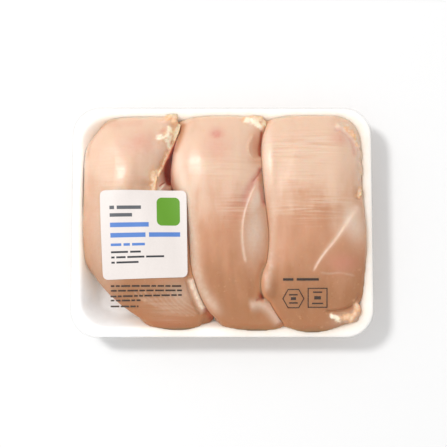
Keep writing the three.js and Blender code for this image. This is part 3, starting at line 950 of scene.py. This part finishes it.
label, spots = new_sheet("paper_label", LABEL_GRID, LABEL_GRID, (1, 1), LABEL_ROUNDING)
across, along = (spots[:, 0] + 1) / 2, (spots[:, 1] + 1) / 2
corner = {name: np.array(place) * MM for name, place in LABEL_CORNERS.items()}
back = corner["back_left"] + across[:, None] * (corner["back_right"] - corner["back_left"])
front = corner["front_left"] + across[:, None] * (corner["front_right"] - corner["front_left"])
spots[:, :2] = front + along[:, None] * (back - front)
spots[:, 2] = [drop_on(film_tree, x, y, FILM_RIM_HEIGHT) + LABEL_LIFT for x, y in spots[:, :2]]
write_spots(label, spots)
print_spots = np.column_stack([across, along, np.zeros_like(across)]).astype(np.float32)
print_place = label.data.attributes.new("print_place", "FLOAT_VECTOR", "POINT")
print_place.data.foreach_set("vector", print_spots.ravel())
apply_modifier(label, "SOLIDIFY", thickness=PAPER_THICKNESS, offset=1)
bpy.ops.object.shade_smooth_by_angle(angle=math.radians(LABEL_SHARP_EDGE))

paper, sheet = new_material("label_paper")
place = sheet.node("ShaderNodeAttribute", {"attribute_name": "print_place"}, output=1)
across = sheet.node("ShaderNodeSeparateXYZ", None, {0: place}, output=0)
along = sheet.node("ShaderNodeSeparateXYZ", None, {0: place}, output=1)
fleck = grain(sheet, (0.8, 0.8, 0.8), detail=3)
colour = fleck.ramp(0.3, 0.7).mix(PAPER_WHITE, tuple(part * 0.97 for part in PAPER_WHITE[:3]) + (1,))
for ink, left, right, low, high in LABEL_PRINT:
    beyond_side = sheet.maths("ABSOLUTE", across - (left + right) / 2, 0) - (right - left) / 2
    beyond_end = sheet.maths("ABSOLUTE", along - (low + high) / 2, 0) - (high - low) / 2
    inside = sheet.maths("LESS_THAN", sheet.maths("MAXIMUM", beyond_side, beyond_end), 0)
    colour = inside.mix(colour, ink)
middle, half, rounding = LABEL_BLOCK["middle"], LABEL_BLOCK["half"], LABEL_BLOCK["rounding"]
past_side = sheet.maths("ABSOLUTE", across - middle[0], 0) - (half[0] - rounding)
past_end = sheet.maths("ABSOLUTE", along - middle[1], 0) - (half[1] - rounding)
past_corner = sheet.maths("MAXIMUM", past_side, 0) ** 2 + sheet.maths("MAXIMUM", past_end, 0) ** 2
inside = sheet.maths("LESS_THAN", past_corner, rounding ** 2)
colour = inside.mix(colour, LABEL_BLOCK["ink"])
finish_material(sheet, sheet.node("ShaderNodeBsdfPrincipled", None, {
    "Base Color": colour,
    "Roughness": fleck * 0.15 + 0.4,
    "IOR": 1.45,
}))
label.data.materials.append(paper)
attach(label, "root")
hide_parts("label")

# Print on the film. Dark ink printed straight on the film: lines of thin bars below the label, and on
# the right a line of two bars over a plain hexagon and a plain square, each an outline round some bars.
INK_LIFT = 0.12 * MM
INK_BROWN = (0.030, 0.014, 0.008, 1)
INK_WORN = (0.06, 0.032, 0.02, 1)
OUTLINE_WIDTH = 0.75
OUTLINE_CUTS = 6
# Lines of bars in mm: left and right end, and how far up each end lies.
SMALL_PRINT = [(-88.3, -31.8, -51.6, -51.6), (-88.3, -31.8, -55.3, -55), (-88.5, -32, -59.8, -58.6),
               (-88.3, -64.5, -63, -62.8), (-88.3, -66.2, -67.6, -67.6)]
SMALL_HALF_HEIGHT = 0.65
SMALL_GAP = 1.1
SHORTEST_BAR = 1
BAR_LENGTHS = (2.5, 8.5)
# Single bars: middle and half sizes in mm.
BOLD_BARS = [((51.9, -46.6), (4.1, 0.95)), ((67.2, -46.6), (8.7, 0.95)),
             ((56, -58.6), (3.4, 0.55)), ((56, -61.6), (2, 1.1)), ((56, -65), (3.4, 0.55)),
             ((75, -56.6), (3.6, 0.55)), ((75, -61), (2.6, 1.3)), ((75, -65.4), (4.4, 0.55))]
HEXAGON = {"place": (56, -61.6), "reach": 8.7, "sides": 6, "turn": 30}
SQUARE = {"place": (75, -61), "reach": 11, "sides": 4, "turn": 45}


def drape_print(piece, name):
    """Lays a flat print mark on the film."""
    piece.name = name
    settle_in_place(piece)
    spots = read_vectors(piece.data.vertices, "co")
    spots[:, 2] = [drop_on(film_tree, x, y, FILM_RIM_HEIGHT) + INK_LIFT for x, y in spots[:, :2]]
    write_spots(piece, spots)
    piece.data.materials.append(ink)
    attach(piece, "root")


def print_bars(bars, name):
    """One piece with a finely cut flat bar for each middle and half size."""
    deselect_all()
    for index, ((x, y), half) in enumerate(bars):
        if index:
            bpy.ops.object.mode_set(mode="EDIT")
            bpy.ops.mesh.select_all(action="DESELECT")
        place = (x * MM, y * MM, 0)
        bpy.ops.mesh.primitive_grid_add(
            x_subdivisions=max(2, round(half[0] * 2)),
            y_subdivisions=1,
            size=2,
            location=place,
        )
        if index == 0:
            bpy.ops.object.mode_set(mode="EDIT")
        bpy.ops.transform.resize(value=(half[0] * MM, half[1] * MM, 1), center_override=place)
    bpy.ops.object.mode_set(mode="OBJECT")
    drape_print(bpy.context.object, name)


ink, sheet = new_material("dark_ink")
wear = grain(sheet, (1.5, 1.5, 1.5), detail=2)
finish_material(sheet, sheet.node("ShaderNodeBsdfPrincipled", None, {
    "Base Color": wear.ramp(0.4, 0.8).mix(INK_BROWN, INK_WORN),
    "Roughness": 0.5,
}))
small_bars = []
for left, right, left_end, right_end in SMALL_PRINT:
    start = left
    while right - start > SHORTEST_BAR:
        end = min(start + chance.uniform(*BAR_LENGTHS), right)
        middle = (start + end) / 2
        up = left_end + (right_end - left_end) * (middle - left) / (right - left)
        small_bars.append(((middle, up), ((end - start) / 2, SMALL_HALF_HEIGHT)))
        start = end + SMALL_GAP
print_bars(small_bars, "film_print_small_bars")
print_bars(BOLD_BARS, "film_print_bold_bars")
for name, shape in (("film_print_hexagon", HEXAGON), ("film_print_square", SQUARE)):
    deselect_all()
    x, y = shape["place"]
    bpy.ops.mesh.primitive_circle_add(
        vertices=shape["sides"],
        radius=shape["reach"] * MM,
        fill_type="NGON",
        location=(x * MM, y * MM, 0),
        rotation=(0, 0, math.radians(shape["turn"])),
    )
    outline = bpy.context.object
    bpy.ops.object.mode_set(mode="EDIT")
    bpy.ops.mesh.select_all(action="SELECT")
    bpy.ops.mesh.inset(thickness=OUTLINE_WIDTH * MM)
    bpy.ops.mesh.delete(type="FACE")
    bpy.ops.mesh.select_all(action="SELECT")
    bpy.ops.mesh.subdivide(number_cuts=OUTLINE_CUTS)
    bpy.ops.object.mode_set(mode="OBJECT")
    drape_print(outline, name)

# Setting. A white floor, a white studio round it, and one soft light from the upper left behind the
# pack. The camera looks almost straight down from in front.
FLOOR_SIZE = 8
FLOOR_WHITE = (0.76, 0.76, 0.76, 1)
LIGHT_FROM = Vector((-0.481, 0.267, 0.835))
LIGHT_DISTANCE = 2.6
LIGHT_SIZE = 0.46
LIGHT_POWER = 37
STUDIO_STRENGTH = 0.885
CAMERA_ELEVATION = 84
CAMERA_DISTANCE = 0.9
CAMERA_LENS = 90.9
CAMERA_AIM = Vector((0.00096, -0.0016, 0.032))

deselect_all()
bpy.ops.mesh.primitive_plane_add(size=FLOOR_SIZE, location=(0, 0, 0))
floor = bpy.context.object
floor.name = "studio_floor"
white, sheet = new_material("studio_white")
finish_material(sheet, sheet.node("ShaderNodeBsdfPrincipled", None, {
    "Base Color": FLOOR_WHITE, "Roughness": 0.9, "Specular IOR Level": 0.1}))
floor.data.materials.append(white)

bpy.ops.object.light_add(type="AREA", location=LIGHT_FROM * LIGHT_DISTANCE)
lamp = bpy.context.object
lamp.data.shape = "DISK"
lamp.data.size = LIGHT_SIZE
lamp.data.energy = LIGHT_POWER
lamp.rotation_euler = LIGHT_FROM.to_track_quat("Z", "Y").to_euler()

studio = bpy.data.worlds.new("studio")
studio.use_nodes = True
studio.node_tree.nodes["Background"].inputs["Color"].default_value = (1, 1, 1, 1)
studio.node_tree.nodes["Background"].inputs["Strength"].default_value = STUDIO_STRENGTH
bpy.context.scene.world = studio
bpy.context.scene.view_settings.view_transform = "Standard"

elevation = math.radians(CAMERA_ELEVATION)
toward_camera = Vector((0, -math.cos(elevation), math.sin(elevation)))
bpy.ops.object.camera_add(location=CAMERA_AIM + toward_camera * CAMERA_DISTANCE)
camera = bpy.context.object
camera.rotation_euler = toward_camera.to_track_quat("Z", "Y").to_euler()
camera.data.lens = CAMERA_LENS
bpy.context.scene.camera = camera
deselect_all()
